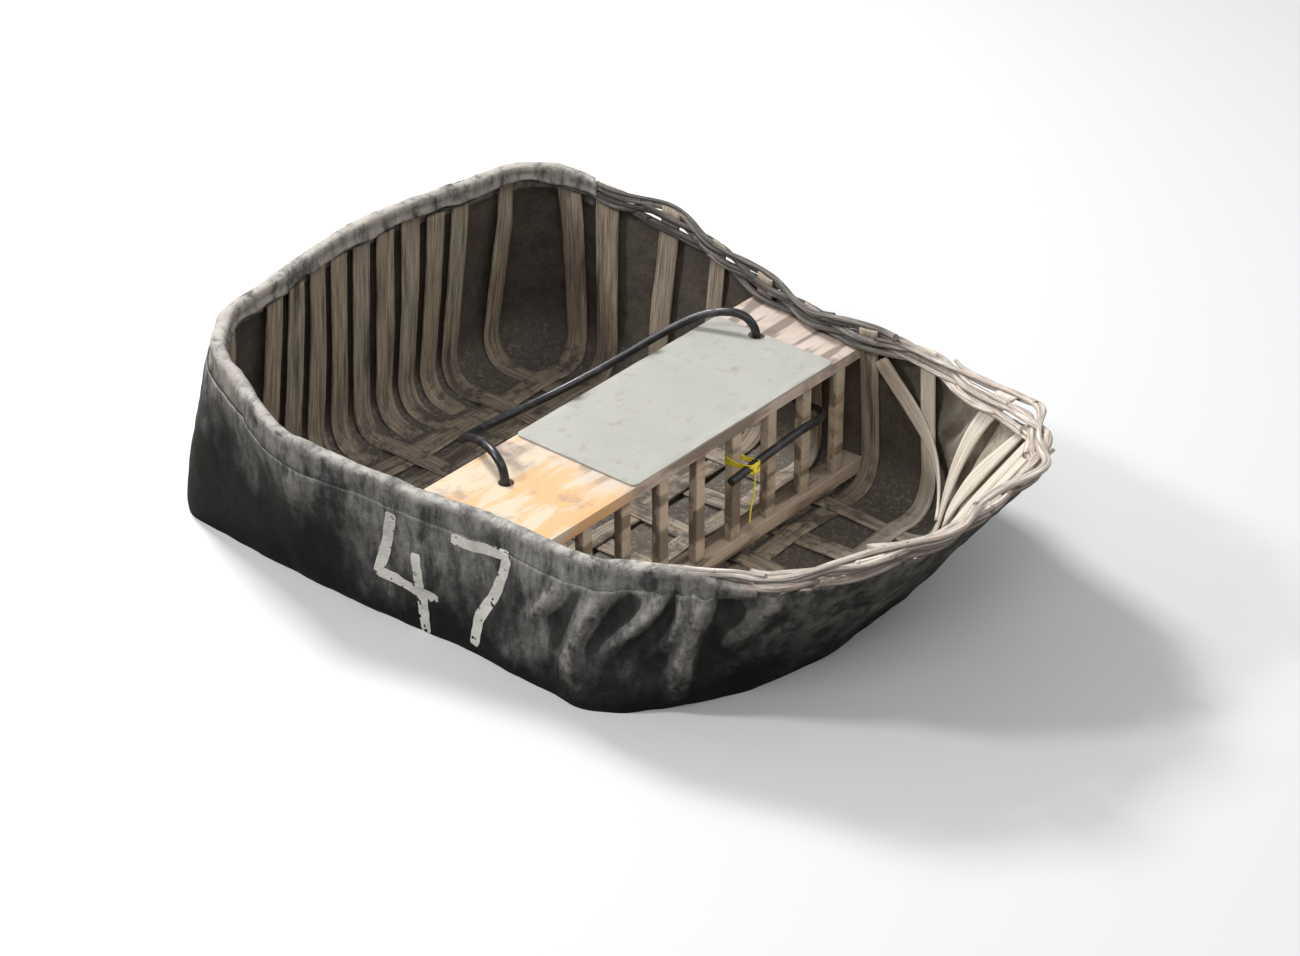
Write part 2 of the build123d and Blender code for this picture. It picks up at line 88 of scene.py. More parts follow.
class Finish:
    """A material and the few nodes that the boat's surfaces are painted with."""

    def __init__(self, name, roughness, specular):
        self.material = bpy.data.materials.new(name)
        self.material.use_nodes = True
        self.tree = self.material.node_tree
        self.shader = self.tree.nodes["Principled BSDF"]
        self.shader.inputs["Roughness"].default_value = roughness
        self.shader.inputs["Specular IOR Level"].default_value = specular
        self.place = self.tree.nodes.new("ShaderNodeTexCoord")

    def join(self, value, socket):
        """Put a number, a colour or another node's output into a socket."""
        if isinstance(value, bpy.types.NodeSocket):
            self.tree.links.new(value, socket)
        elif socket.type == "RGBA":
            socket.default_value = (*value, 1)
        else:
            socket.default_value = value

    def add(self, kind, **sockets):
        """A new node, with a value or another node's output in each socket that is named."""
        made = self.tree.nodes.new(kind)
        for name, value in sockets.items():
            self.join(value, made.inputs[name.replace("_", " ")])
        return made

    def cloud(self, scale, detail=4, rough=0.55, stretch=(1, 1, 1), along="Object"):
        """Soft noise, from 0 to 1, squeezed by a factor for each axis."""
        place = self.add("ShaderNodeMapping", Vector=self.place.outputs[along], Scale=stretch)
        return self.add("ShaderNodeTexNoise", Vector=place.outputs["Vector"], Scale=scale,
                        Detail=detail, Roughness=rough).outputs["Fac"]

    def ramp(self, value, low, high):
        """0 below low, 1 above high."""
        step = self.add("ShaderNodeMapRange", Value=value, From_Min=low, From_Max=high)
        step.interpolation_type = "SMOOTHSTEP"
        return step.outputs["Result"]

    def patches(self, low, high, *kind):
        """Patches of a cloud: 0 where it is below low, 1 where it is above high."""
        return self.ramp(self.cloud(*kind), low, high)

    def sum(self, first, second, how="ADD"):
        maths = self.tree.nodes.new("ShaderNodeMath")
        maths.operation = how
        self.join(first, maths.inputs[0])
        self.join(second, maths.inputs[1])
        return maths.outputs["Value"]

    def times(self, first, second):
        return self.sum(first, second, "MULTIPLY")

    def mix(self, share, first, second):
        blend = self.tree.nodes.new("ShaderNodeMix")
        blend.data_type = "RGBA"
        for name, value in (("Factor", share), ("A", first), ("B", second)):
            self.join(value, blend.inputs[name])
        return blend.outputs["Result"]

    def lay(self, colour, base, where, most):
        """A colour over a base, where it lies and at most as thick as said."""
        return self.mix(self.times(where, most), base, colour)

    def axis(self, letter):
        split = self.add("ShaderNodeSeparateXYZ", Vector=self.place.outputs["Object"])
        return split.outputs[letter]

    def about(self, letter, stray, *kind):
        """A coordinate that strays with a cloud."""
        return self.sum(self.axis(letter), self.times(self.cloud(*kind), stray))

    def colour(self, value):
        self.join(value, self.shader.inputs["Base Color"])

    def roughness(self, value):
        self.join(value, self.shader.inputs["Roughness"])

    def bump(self, *layers):
        """Each layer is a height, a strength and the depth that it stands for, in metres."""
        below = None
        for height, strength, depth in layers:
            bump = self.add("ShaderNodeBump", Height=height, Strength=strength, Distance=depth)
            if below is not None:
                self.join(below, bump.inputs["Normal"])
            below = bump.outputs["Normal"]
        self.join(below, self.shader.inputs["Normal"])


def hose_rubber():
    coat = Finish("hose_rubber", 0.42, 0.5)
    dust = coat.patches(0.5, 0.75, 38, 5, 0.6)
    coat.colour(coat.mix(dust, (0.012, 0.012, 0.014), (0.06, 0.056, 0.052)))
    coat.roughness(coat.sum(0.34, coat.times(dust, 0.3)))
    coat.bump((coat.cloud(220, 3), 0.25, 0.0006))
    return coat.material


def aboard(name, data):
    """An object that rides on the boat."""
    piece = bpy.data.objects.new(name, data)
    scene.collection.objects.link(piece)
    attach(piece, "root")
    return piece


def route_curve(name, route, diameter, material):
    """A round cord whose line is a smooth curve steered by the points of its route."""
    curve = bpy.data.curves.new(name, "CURVE")
    curve.dimensions = "3D"
    curve.bevel_depth = diameter / 2
    curve.bevel_resolution = CORD_BEVEL
    curve.use_fill_caps = True
    spline = curve.splines.new("NURBS")
    spline.points.add(len(route) - 1)
    for point, spot in zip(spline.points, route):
        point.co = (*spot, 1)
    spline.order_u = 3
    spline.use_endpoint_u = True
    spline.resolution_u = CORD_STEPS
    curve.materials.append(material)
    return aboard(name, curve)


strap = route_curve("strap_hose", STRAP_ROUTE, STRAP_DIAMETER, hose_rubber())
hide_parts("carrying_strap")


# Skin: one piece of calico, stretched over the lath frame wet with pitch and bitumen. It is
# black and smooth low down, grey and cracked above, and gathers in folds at the hips.
CENTRE = Vector((0.05, 0.0))
AROUND = 600
SHEER = [(-0.74, 0.446), (-0.09, 0.343), (0.74, 0.480)]
SKIN_EDGE = 0.046  # from the sheer line down to the skin's top edge
SKIN_THICK = 0.0018
WALL_ROWS = 64
ROW_SPREAD = 0.92
LOWEST_ROW = 0.0012
FLOOR_RINGS = 8
FLOOR_LIFT = 0.0005
FORM_EASING = 6  # rounds of easing
RIM_BULGE = 0.0065  # how far the rods push the skin out at the gunwale
RIM_BULGE_DEPTH = 0.11
LUMPS = 0.0075  # heights of the cloth's unevenness, from broad to fine
DENTS = 0.0034
RIPPLES = 0.001
PUCKERS = 0.0055  # short pleats under the gunwale
BOW_SWELL = 0.016
FRAY_ROWS = (1, 0.55, 0.2)  # share of its fraying in each of the top rows
PROUD_DEPTH = 0.0045  # relief at which the cloth is painted pale on its ridges, as wear and as painted highlight, and painted shade in its pockets
PROUD_EASING = 60
HEM_FROM = -0.30  # where the hem covers the rods to port, and to starboard
HEM_TO = 0.54
STARBOARD_FOLDS = 0.7  # how high the folds are on that side, and their shift
STARBOARD_SHIFT = 0.02
FOLD_BEND = 0.012
# Folds of the cloth at the hips, seen from the side: x and z of the upper and the lower end,
# how far it stands out, its half width
FOLDS = [
    ((-0.200, 0.310), (-0.110, 0.165), 0.010, 0.018),
    ((-0.300, 0.330), (-0.205, 0.130), 0.014, 0.020),
    ((-0.360, 0.335), (-0.285, 0.185), 0.020, 0.012),
    ((-0.405, 0.345), (-0.335, 0.200), 0.017, 0.010),
    ((-0.450, 0.350), (-0.350, 0.110), 0.024, 0.017),
    ((-0.520, 0.345), (-0.430, 0.190), 0.013, 0.014),
    ((-0.590, 0.340), (-0.500, 0.220), 0.008, 0.014),
]
# Swells, where the cloth bags out between the laths: x and z, height, radius
SWELLS = [((-0.365, 0.120), 0.016, 0.055), ((-0.240, 0.130), 0.010, 0.050),
          ((-0.080, 0.110), 0.010, 0.060), ((0.100, 0.200), 0.010, 0.055),
          ((0.240, 0.130), 0.012, 0.070), ((0.330, 0.270), 0.010, 0.060),
          ((0.440, 0.160), 0.010, 0.070), ((-0.170, 0.260), 0.008, 0.040)]


def sheer_height(x):
    """Height of the sheer line: the circle through its three points."""
    (x1, z1), (x2, z2), (x3, z3) = SHEER
    d = 2 * (x1 * (z2 - z3) + x2 * (z3 - z1) + x3 * (z1 - z2))
    s1, s2, s3 = x1 * x1 + z1 * z1, x2 * x2 + z2 * z2, x3 * x3 + z3 * z3
    cx = (s1 * (z2 - z3) + s2 * (z3 - z1) + s3 * (z1 - z2)) / d
    cz = (s1 * (x3 - x2) + s2 * (x1 - x3) + s3 * (x2 - x1)) / d
    return cz - math.sqrt((x1 - cx) ** 2 + (z1 - cz) ** 2 - (x - cx) ** 2)


def tree_of(name):
    """A ray target made of a CAD node."""
    mesh = node[name].data
    return BVHTree.FromPolygons([v.co.copy() for v in mesh.vertices],
                                [tuple(p.vertices) for p in mesh.polygons])


skin_tree = tree_of("skin")


def outer_point(angle, height):
    """The outer face of the hull in one direction from the middle, at a height."""
    out = Vector((math.cos(angle), math.sin(angle), 0))
    return skin_tree.ray_cast(Vector((*CENTRE, height)) + out * 2, -out)[0]


def skin_edge(angle):
    """Where the hull's form crosses the line of the skin's top edge."""
    height = SHEER[1][1] - SKIN_EDGE
    for _ in range(6):
        hit = outer_point(angle, height)
        if hit is None:
            height -= 0.002
            continue
        height = sheer_height(hit.x) - SKIN_EDGE
    return outer_point(angle, height - 0.0005)


def smoothstep(low, high, value):
    share = min(max((value - low) / (high - low), 0), 1)
    return share * share * (3 - 2 * share)


def uneven(x, y, z):
    return noise.noise(Vector((x, y, z)))


def soft_noise(x, y, z, scale, seed=0):
    return uneven(x * scale + seed, y * scale, z * scale)


def under_hem(x, y):
    """1 where the hem covers the gunwale, 0 where the rods are bare."""
    if y > 0:
        return smoothstep(HEM_FROM - 0.02, HEM_FROM + 0.06, x)
    return smoothstep(HEM_TO - 0.03, HEM_TO + 0.06, x)


def fold_height(x, y, z):
    """Height of the folds and swells at a place on the side."""
    share, shift = (1, 0) if y > 0 else (STARBOARD_FOLDS, STARBOARD_SHIFT)
    total = 0
    for (x1, z1), (x2, z2), height, width in FOLDS:
        dx, dz = x2 - x1, z2 - z1
        px, pz = x + shift - x1, z + shift - z1
        along = (px * dx + pz * dz) / (dx * dx + dz * dz)
        if not -0.25 < along < 1.25:
            continue
        bend = FOLD_BEND * math.sin(2.6 * along + x1 * 40)
        off = (px * dz - pz * dx) / math.hypot(dx, dz) + bend
        ends = smoothstep(-0.2, 0.25, along) * (1 - smoothstep(0.6, 1.25, along))
        total += height * ends * math.exp(-(off / width) ** 2)
    for (sx, sz), height, radius in SWELLS:
        total += height * math.exp(-((x - sx) ** 2 + (z - sz) ** 2) / radius ** 2)
    return total * share


def skin_relief(x, y, z, edge_height):
    """How far the cloth stands out from the hull's form at a point."""
    below = edge_height - z
    side = smoothstep(0.25, 0.36, abs(y))
    high = smoothstep(0.02, 0.10, z)
    lump = max(soft_noise(x, y, z, 7), -0.15) * LUMPS
    dent = soft_noise(x, y, z * 0.7, 19, 4) * DENTS
    small = soft_noise(x, y, z, 48, 9) * RIPPLES
    pucker = max(0, uneven(x * 42, y * 42, z * 7)) * PUCKERS
    pucker *= (1 - smoothstep(0.0, 0.13, below)) * (1 - 0.6 * smoothstep(0.1, 0.3, x))
    level = math.sin(math.pi * min(max(z / 0.42, 0), 1))
    swell = BOW_SWELL * smoothstep(0.20, 0.65, x) * level
    bulge = (1 - smoothstep(-0.01, RIM_BULGE_DEPTH, below)) * RIM_BULGE
    bulge *= 0.5 + 0.5 * under_hem(x, y)
    relief = lump + dent + small + pucker + swell + fold_height(x, y, z) * side
    return max(0.0006 + high * relief, -0.0006) + bulge


def grid_faces(rows, columns, closed=True):
    """Quads of a grid, its rows closed or open."""
    faces = []
    for i in range(rows - 1):
        for j in range(columns if closed else columns - 1):
            k = (j + 1) % columns
            faces.append((i * columns + j, (i + 1) * columns + j,
                          (i + 1) * columns + k, i * columns + k))
    return faces


def piece_from(name, points, faces, materials, uv=None):
    """A mesh piece that rides on the boat."""
    mesh = bpy.data.meshes.new(name)
    mesh.from_pydata([tuple(p) for p in points], [], faces)
    if uv is not None:
        layer = mesh.uv_layers.new(name="UVMap")
        for loop in mesh.loops:
            layer.data[loop.index].uv = uv[loop.vertex_index]
    for polygon in mesh.polygons:
        polygon.use_smooth = True
    for material in materials:
        mesh.materials.append(material)
    return aboard(name, mesh)


def thicken(cloth, thickness):
    """Give a cloth its thickness, inward from the face that is modelled."""
    thick = cloth.modifiers.new("cloth", "SOLIDIFY")
    thick.thickness = thickness
    thick.offset = -1
    return thick


def mark_proud(cloth, values):
    """Store how proud a cloth stands at each point, which shows in its colour: pale where it
    stands out, as wear and as painted highlight, and painted shade where it is sunk.
    """
    marks = cloth.data.attributes.new("proud", "FLOAT", "POINT")
    marks.data.foreach_set("value", values)


def unit(ways):
    """Vectors brought to a length of one."""
    return ways / (np.linalg.norm(ways, axis=-1, keepdims=True) + 1e-12)


def settle(grid, times):
    """Ease the creases of a grid of points, closed round its columns."""
    for _ in range(times):
        eased = grid.copy()
        eased[1:-1] = (grid[:-2] + grid[2:] + np.roll(grid, 1, 1)[1:-1]
                       + np.roll(grid, -1, 1)[1:-1] + 4 * grid[1:-1]) / 8
        grid = eased
    return grid


def tarred_cloth():
    """Bitumen over cloth: black and glossy low down, weathered grey and cracked above."""
    coat = Finish("tarred_cloth", 0.5, 0.5)
    streak = coat.cloud(30, 7, 0.7, (1, 1, 0.3))
    place = coat.about("Z", 0.34, 4.6, 5, 0.6)
    place = coat.sum(place, coat.times(coat.cloud(13, 6, 0.64, (1, 1, 0.7)), 0.2))
    place = coat.sum(place, coat.times(coat.ramp(coat.axis("X"), 0.12, 0.58), -0.15))
    worn = coat.ramp(place, 0.36, 0.54)
    tar = coat.mix(coat.cloud(24, 5), (0.004, 0.004, 0.0045), (0.017, 0.017, 0.018))
    mark = coat.add("ShaderNodeAttribute")
    mark.attribute_name = "proud"
    proud = coat.sum(mark.outputs["Fac"], coat.times(streak, 0.5))
    grey = coat.ramp(streak, 0.32, 0.66)
    grey = coat.mix(grey, (0.04, 0.039, 0.038), (0.27, 0.258, 0.24))
    base = coat.mix(worn, tar, grey)
    drip = coat.patches(0.54, 0.64, 17, 6, 0.66, (1, 1, 0.35))
    base = coat.lay((0.018, 0.018, 0.018), base, drip, 0.72)
    scuff = coat.patches(0.6, 0.74, 52, 8, 0.74, (1, 1, 0.45))
    scuff = coat.times(scuff, coat.ramp(place, 0.3, 0.58))
    base = coat.lay((0.42, 0.4, 0.37), base, scuff, 0.7)
    # Pale ridges where the cloth stands proud: partly wear, partly painted highlight on the
    # tops of the folds.
    ridge = coat.times(coat.ramp(proud, 0.5, 1.6), coat.ramp(place, 0.3, 0.52))
    ridge = coat.times(ridge, coat.patches(0.38, 0.62, 38, 7, 0.72))
    base = coat.lay((0.42, 0.395, 0.36), base, ridge, 0.9)
    # Painted shade: darker in the sunk pockets between the folds.
    painted_pocket_shade = coat.ramp(proud, 0.1, -0.4)
    base = coat.lay((0.012, 0.012, 0.012), base, painted_pocket_shade, 0.85)
    top = coat.ramp(coat.about("Z", 0.1, 9, 5), 0.37, 0.5)
    bare = coat.times(top, coat.ramp(streak, 0.35, 0.62))
    coat.colour(coat.lay((0.36, 0.325, 0.285), base, bare, 0.85))
    coat.roughness(coat.sum(0.24, coat.times(worn, 0.46)))
    weave = coat.add("ShaderNodeTexVoronoi", Vector=coat.place.outputs["Object"], Scale=700)
    coat.bump((coat.cloud(24, 7, 0.66), 0.8, 0.006), (coat.cloud(85, 6, 0.7), 0.5, 0.002),
              (weave.outputs["Distance"], 0.12, 0.0004))
    return coat.material


def inner_cloth():
    """The cloth seen from inside: pale at the stern, partly bleached and partly painted as
    sunlit; stained brown and gritty elsewhere, with the floor's mud painted paler at the stern
    as painted light.
    """
    coat = Finish("inner_cloth", 0.9, 0.2)
    stern = coat.ramp(coat.about("X", 0.25, 8, 4), -0.1, -0.36)
    high = coat.ramp(coat.axis("Z"), 0.015, 0.12)
    pale = coat.mix(coat.cloud(30, 6, 0.65), (0.16, 0.13, 0.1), (0.5, 0.44, 0.36))
    dark = coat.mix(coat.cloud(26, 6, 0.65), (0.03, 0.026, 0.022), (0.15, 0.125, 0.1))
    grit = coat.patches(0.5, 0.62, 110, 8, 0.8)
    mud = coat.mix(coat.cloud(60, 8, 0.78), (0.03, 0.027, 0.024), (0.2, 0.175, 0.145))
    mud = coat.lay((0.38, 0.34, 0.28), mud, grit, 0.6)
    # Walls paler at the stern: partly bleaching, partly painted light where the sun falls on
    # the stern.
    wall = coat.mix(stern, dark, pale)
    # Floor mud painted paler at the stern, as painted light on the stern floor.
    mud = coat.lay((0.36, 0.32, 0.265), mud, stern, 0.45)
    coat.colour(coat.mix(high, mud, wall))
    coat.bump((coat.cloud(120, 6, 0.7), 0.7, 0.003), (grit, 0.5, 0.003))
    return coat.material


angles = [2 * math.pi * j / AROUND for j in range(AROUND)]
edge_points = [skin_edge(angle) for angle in angles]
rows = []
for i in range(WALL_ROWS + 1):
    share = (i / WALL_ROWS) ** ROW_SPREAD
    rows.append([outer_point(a, max(p.z * (1 - share), LOWEST_ROW))
                 for a, p in zip(angles, edge_points)])
for i in range(1, FLOOR_RINGS + 1):
    share = 1 - i / (FLOOR_RINGS + 0.4)
    rows.append([Vector((CENTRE.x + (p.x - CENTRE.x) * share, (p.y - CENTRE.y) * share,
                         FLOOR_LIFT)) for p in rows[WALL_ROWS]])
form = settle(np.array([[tuple(p) for p in row] for row in rows]), FORM_EASING)
across = np.roll(form, -1, 1) - np.roll(form, 1, 1)
normal = unit(np.cross(np.gradient(form, axis=0), across))
relief = np.zeros(form.shape[:2] + (1,))
for i in range(WALL_ROWS - 2):
    for j in range(AROUND):
        relief[i, j] = skin_relief(*form[i, j], edge_points[j].z)
skin_points = form + normal * relief
proud = (relief - settle(relief, PROUD_EASING)) / PROUD_DEPTH
for j in range(AROUND):
    x, y, _ = skin_points[0, j]
    frayed = 0.004 + 0.006 * soft_noise(x, y, 0, 40, 2) + 0.003 * soft_noise(x, y, 0, 130, 5)
    frayed *= 1 - under_hem(x, y)
    for i, share in enumerate(FRAY_ROWS):
        skin_points[i, j, 2] += frayed * share
centre_index = len(rows) * AROUND
floor_ring = (len(rows) - 1) * AROUND
faces = grid_faces(len(rows), AROUND)
faces += [(floor_ring + j, centre_index, floor_ring + (j + 1) % AROUND) for j in range(AROUND)]
tarred = tarred_cloth()
skin = piece_from("skin_cloth", [*skin_points.reshape(-1, 3), (*CENTRE, FLOOR_LIFT)], faces,
                  [tarred, inner_cloth()])
mark_proud(skin, [*proud.flatten(), 0.0])
thicken(skin, SKIN_THICK).material_offset = 1
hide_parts("skin")


def skin_reach(column, height):
    """How far the skin's outer face is from the middle, in one direction at a height."""
    wall = skin_points[:WALL_ROWS, column]
    reach = np.hypot(wall[:, 0] - CENTRE.x, wall[:, 1] - CENTRE.y)
    return float(np.interp(-height, -wall[:, 2], reach))


# Laths: willow, cleft and shaved by hand, woven over and under on the floor and bent up the
# walls while green. They are pale cream at the stern, partly bleached and partly painted as
# sunlit, and grey and muddy toward the bow; their mud is painted thinner on the stern floor,
# as painted light.
LATH_STEP = 0.012
LATH_THICK = 0.005
LATH_WIDTH = 0.050  # at most
LATH_LOWEST = 0.0029  # on the skin's floor
LATH_WANDER = 0.05  # how far its edges wander, as a share of its width
LATH_NICKS = 0.025
LATH_RIPPLE = 0.0006  # how uneven its face is
LATH_GRAIN = 0.022  # half its width, for the grain
RIM_DROP = 0.012  # from the sheer line to the tops of the outermost long laths
RAYS = 720
RAY_HEIGHT = 0.24
RAY_ROUND = (140, 400)  # degrees, along a lath
RAY_BOW = (-60, 50)
RAY_STERN = (240, 130)
ALONG, ACROSS = 0, 1  # which way a lath runs
LATH_COLUMNS = (-1, -0.5, 0, 0.5, 1)
MIDDLE = 2
LATH_MARGIN = 0.0006  # rays keep this far inside a lath's edges
# Corners of a lath's section: share of its width, share of its thickness
LATH_SECTION = [(-1, -0.35), (-0.93, -1), (-0.5, -1.12), (0, -1.0), (0.5, -1.12), (0.93, -1),
                (1, -0.35), (1, 0.5), (0.93, 1), (0, 1), (-0.93, 1), (-1, 0.5)]


def travel(line):
    """How far along a line each of its points is."""
    return np.linalg.norm(np.diff(line, axis=0, prepend=line[:1]), axis=1).cumsum()


def resample(line, count):
    """Points at even steps along a line."""
    gone = travel(line)
    wanted = np.linspace(0, gone[-1], count)
    return np.stack([np.interp(wanted, gone, line[:, k]) for k in range(3)], axis=1)


def ease_line(line, times):
    """Ease the kinks of a line, or of a band of lines side by side."""
    for _ in range(times):
        line[1:-1] = (line[:-2] + 2 * line[1:-1] + line[2:]) / 4


def hits_on(tree, rays):
    """Where rays, each a start and a way, meet a ray target."""
    hits = [tree.ray_cast(start, way)[0] for start, way in rays]
    return np.array([tuple(hit) for hit in hits if hit is not None])


def lath_sheet(name, runs, start, stop):
    """The inner face of a lath as a grid: rays in upright planes across its width."""
    tree = tree_of(name)
    low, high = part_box(name)
    side = 1 - runs
    columns = []
    for share in LATH_COLUMNS:
        origin = Vector((0, 0, RAY_HEIGHT))
        half = (high[side] - low[side]) / 2 - LATH_MARGIN
        origin[side] = (low[side] + high[side]) / 2 + share * half
        rays = []
        for k in range(RAYS + 1):
            angle = math.radians(start + (stop - start) * k / RAYS)
            ray = Vector((0, 0, math.sin(angle)))
            ray[runs] = math.cos(angle)
            rays.append((origin, ray))
        columns.append(hits_on(tree, rays))
    return columns


def cleft_willow():
    coat = Finish("cleft_willow", 0.78, 0.3)
    grain = coat.patches(0.26, 0.7, 1, 7, 0.7, (260, 7, 1), "UV")
    broad = coat.cloud(1, 5, 0.6, (34, 3, 1), "UV")
    # Paler at the stern: partly bleaching, partly painted light where the sun falls on the
    # stern.
    stern = coat.ramp(coat.about("X", 0.16, 6, 3), -0.04, -0.26)
    cream = coat.mix(grain, (0.45, 0.375, 0.285), (0.84, 0.78, 0.69))
    brown = coat.mix(grain, (0.1, 0.076, 0.056), (0.46, 0.38, 0.29))
    wood = coat.mix(stern, brown, cream)
    stain = coat.mix(stern, (0.07, 0.055, 0.045), (0.47, 0.38, 0.29))
    wood = coat.mix(coat.ramp(broad, 0.52, 0.72), wood, stain)
    # Mud low down, cut back at the stern as painted light on the stern floor.
    low = coat.sum(coat.ramp(coat.axis("Z"), 0.11, 0.0), coat.times(stern, -0.65))
    mud = coat.patches(0.47, 0.62, 26, 7, 0.74)
    coat.colour(coat.lay((0.1, 0.088, 0.072), wood, mud, low))
    coat.bump((grain, 0.6, 0.0014), (broad, 0.4, 0.002))
    return coat.material


willow = cleft_willow()


def lath_piece(name, columns, seed, width=LATH_WIDTH, to_rim=False):
    """Give a lath its cleft section, with wandering edges and an uneven face."""
    count = max(int(travel(columns[MIDDLE])[-1] / LATH_STEP), 4)
    grid = np.stack([resample(c, count) for c in columns], axis=1)
    if to_rim:
        rise = grid[-1, MIDDLE] - grid[-5, MIDDLE]
        top = grid[-1, MIDDLE]
        extra = max(int((sheer_height(top[0]) - RIM_DROP - top[2]) / LATH_STEP), 0)
        steps = np.arange(1, extra + 1)[:, None, None] * LATH_STEP
        grid = np.concatenate([grid, grid[-1:] + unit(rise) * steps])
        count += extra
    ease_line(grid, 2)
    middle = grid[:, MIDDLE]
    width_way = grid[:, -1] - grid[:, 0]
    narrow = np.minimum(1, width / np.linalg.norm(width_way, axis=1))
    out = unit(np.cross(np.gradient(middle, axis=0), width_way))
    inward = np.array([0, 0, RAY_HEIGHT]) - middle
    out *= -np.sign((out * inward).sum(1, keepdims=True))
    points, uv = [], []
    for i, gone in enumerate(travel(middle)):
        for share, depth in LATH_SECTION:
            edge = LATH_WANDER * uneven(gone * 13, seed + 7, share)
            edge += LATH_NICKS * uneven(gone * 60, seed, share * 2)
            face = LATH_RIPPLE * uneven(gone * 40, seed + 3, share * 3) if depth < 0 else 0
            reach = share * narrow[i]
            spot = np.array([np.interp(reach, LATH_COLUMNS, grid[i, :, k]) for k in range(3)])
            spot += width_way[i] * reach / 2 * edge
            spot += out[i] * ((1 + depth) * LATH_THICK / 2 + face)
            spot[2] = max(spot[2], LATH_LOWEST)
            points.append(spot)
            uv.append((share * LATH_GRAIN + seed * 0.37, gone))
    sides = len(LATH_SECTION)
    faces = grid_faces(count, sides)
    faces.append(tuple(range(sides)))
    faces.append(tuple(reversed(range((count - 1) * sides, count * sides))))
    piece = piece_from(name + "_piece", points, faces, [willow], uv)
    for polygon in piece.data.polygons:
        polygon.use_smooth = len(polygon.vertices) == 4
    if name in node:
        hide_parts(name)


for number in range(1, 8):
    name = f"long_lath_{number}"
    lath_piece(name, lath_sheet(name, ALONG, *RAY_ROUND), number, to_rim=number in (1, 7))
for number in range(1, 10):
    name = f"cross_lath_{number}"
    lath_piece(name, lath_sheet(name, ACROSS, *RAY_ROUND), 20 + number)
for number in range(1, 5):
    for name, turn, seed in (("bow_lath", RAY_BOW, 40), ("stern_lath", RAY_STERN, 50)):
        name = f"{name}_{number}"
        lath_piece(name, lath_sheet(name, ALONG, *turn), seed + number)


# Braces at the stern: a willow lath at each side, laid inside the others and leaning forward
# as it rises from low on the wall to just below the gunwale.
BRACE_FOOT = (-0.342, 0.064)  # x and z
BRACE_HEAD = (-0.150, 0.290)
BRACE_WIDTH = 0.036
EDGE_RAYS = 120


def leaning_sheet(name, side):
    """The inner face of a brace as a grid: level rays outward, along its slant."""
    tree = tree_of(name)
    foot, head = Vector(BRACE_FOOT), Vector(BRACE_HEAD)
    lean = (head - foot).normalized()
    across = Vector((-lean.y, lean.x))
    columns = []
    for share in LATH_COLUMNS:
        off = across * share * (BRACE_WIDTH / 2 - LATH_MARGIN)
        spots = [foot + (head - foot) * k / EDGE_RAYS + off for k in range(EDGE_RAYS + 1)]
        columns.append(hits_on(tree, [(Vector((spot.x, 0, spot.y)), Vector((0, side, 0)))
                                      for spot in spots]))
    return columns


for number, (side_name, side) in enumerate((("port", 1), ("starboard", -1))):
    name = f"stern_brace_{side_name}"
    lath_piece(name, leaning_sheet(name, side), 60 + number, BRACE_WIDTH)


# Stern quarters: two narrower laths a side fill the room between the long laths and the
# corner. They run from the floor up the raked wall, and their tops are held by the withies.
QUARTER_LATHS = (0.2855, 0.3235)  # distance from the middle line
QUARTER_WIDTH = 0.0345
QUARTER_FOOT = -0.386
QUARTER_RISE = (-84, 34)  # degrees, from the floor up
QUARTER_TOP = 0.024  # above the skin's edge
QUARTER_GAP = 0.0006  # between a lath and the skin behind it


def quarter_sheet(y):
    """The inner face of a lath laid against the skin, in a plane along the boat."""
    start, stop = QUARTER_RISE
    columns = []
    for share in LATH_COLUMNS:
        spot = Vector((QUARTER_FOOT, y + share * (QUARTER_WIDTH / 2 - LATH_MARGIN), RAY_HEIGHT))
        hits = []
        for k in range(EDGE_RAYS + 1):
            angle = math.radians(start + (stop - start) * k / EDGE_RAYS)
            ray = Vector((-math.cos(angle), 0, math.sin(angle)))
            hit, face_normal = skin_tree.ray_cast(spot, ray)[:2]
            if hit is not None and face_normal.dot(ray) < 0:
                hits.append(hit + face_normal * (LATH_THICK + QUARTER_GAP))
        hits.append(hits[-1] + (hits[-1] - hits[-6]).normalized() * QUARTER_TOP)
        columns.append(np.array(hits, float))
    return columns


for number, y in enumerate(QUARTER_LATHS):
    for side, side_name in ((1, "port"), (-1, "starboard")):
        lath_piece(f"{side_name}_quarter_lath_{number + 1}", quarter_sheet(y * side),
                   70 + 2 * number + side, QUARTER_WIDTH)


# Gunwale: withies woven in and out of the lath tops, several to a course, each lapping the
# one before. The bark has gone pale at the stern and is black with pitch elsewhere.
ROD_SAMPLES = 480
ROD_SIDES = 8
COURSES = 4
COURSE_SHIFT = 0.37  # from a withy's butt to the one below it, in withies
WITHIES = 9  # to a course
WITHY_LAP = 2.5  # how much of its share of the course a withy covers
WITHY_SPAN = int(ROD_SAMPLES / WITHIES * WITHY_LAP)
WITHY_BUTT = 0.0062  # radius at its butt and at its tip
WITHY_TIP = 0.0036
WITHY_APART = 0.0048  # how far a withy lies from the middle of its course
WITHY_TURN = 2.4  # from one to the next, in radians
WITHY_TWIST = 2.2  # how far a withy winds round its course
WITHY_WANDER = 0.0016
WITHY_SAG = 0.0018
WITHY_KNOBS = 0.18  # how uneven its thickness is
WITHY_GRAIN = 0.0032  # width of one of its sides, for the grain
WITHY_STRAY = 0.008  # how far its loose ends stand off
STRAY_SHARE = 0.05
HIDDEN_WEAVE = 0.55  # the rods lie flatter, closer and thinner under the hem
HIDDEN_CLOSER = 0.8
HIDDEN_THINNER = 0.42
FLAP_FROM, FLAP_TO = -0.50, -0.28  # where the hem covers only the outside of the rods
FLAP_ROOM = 0.0075


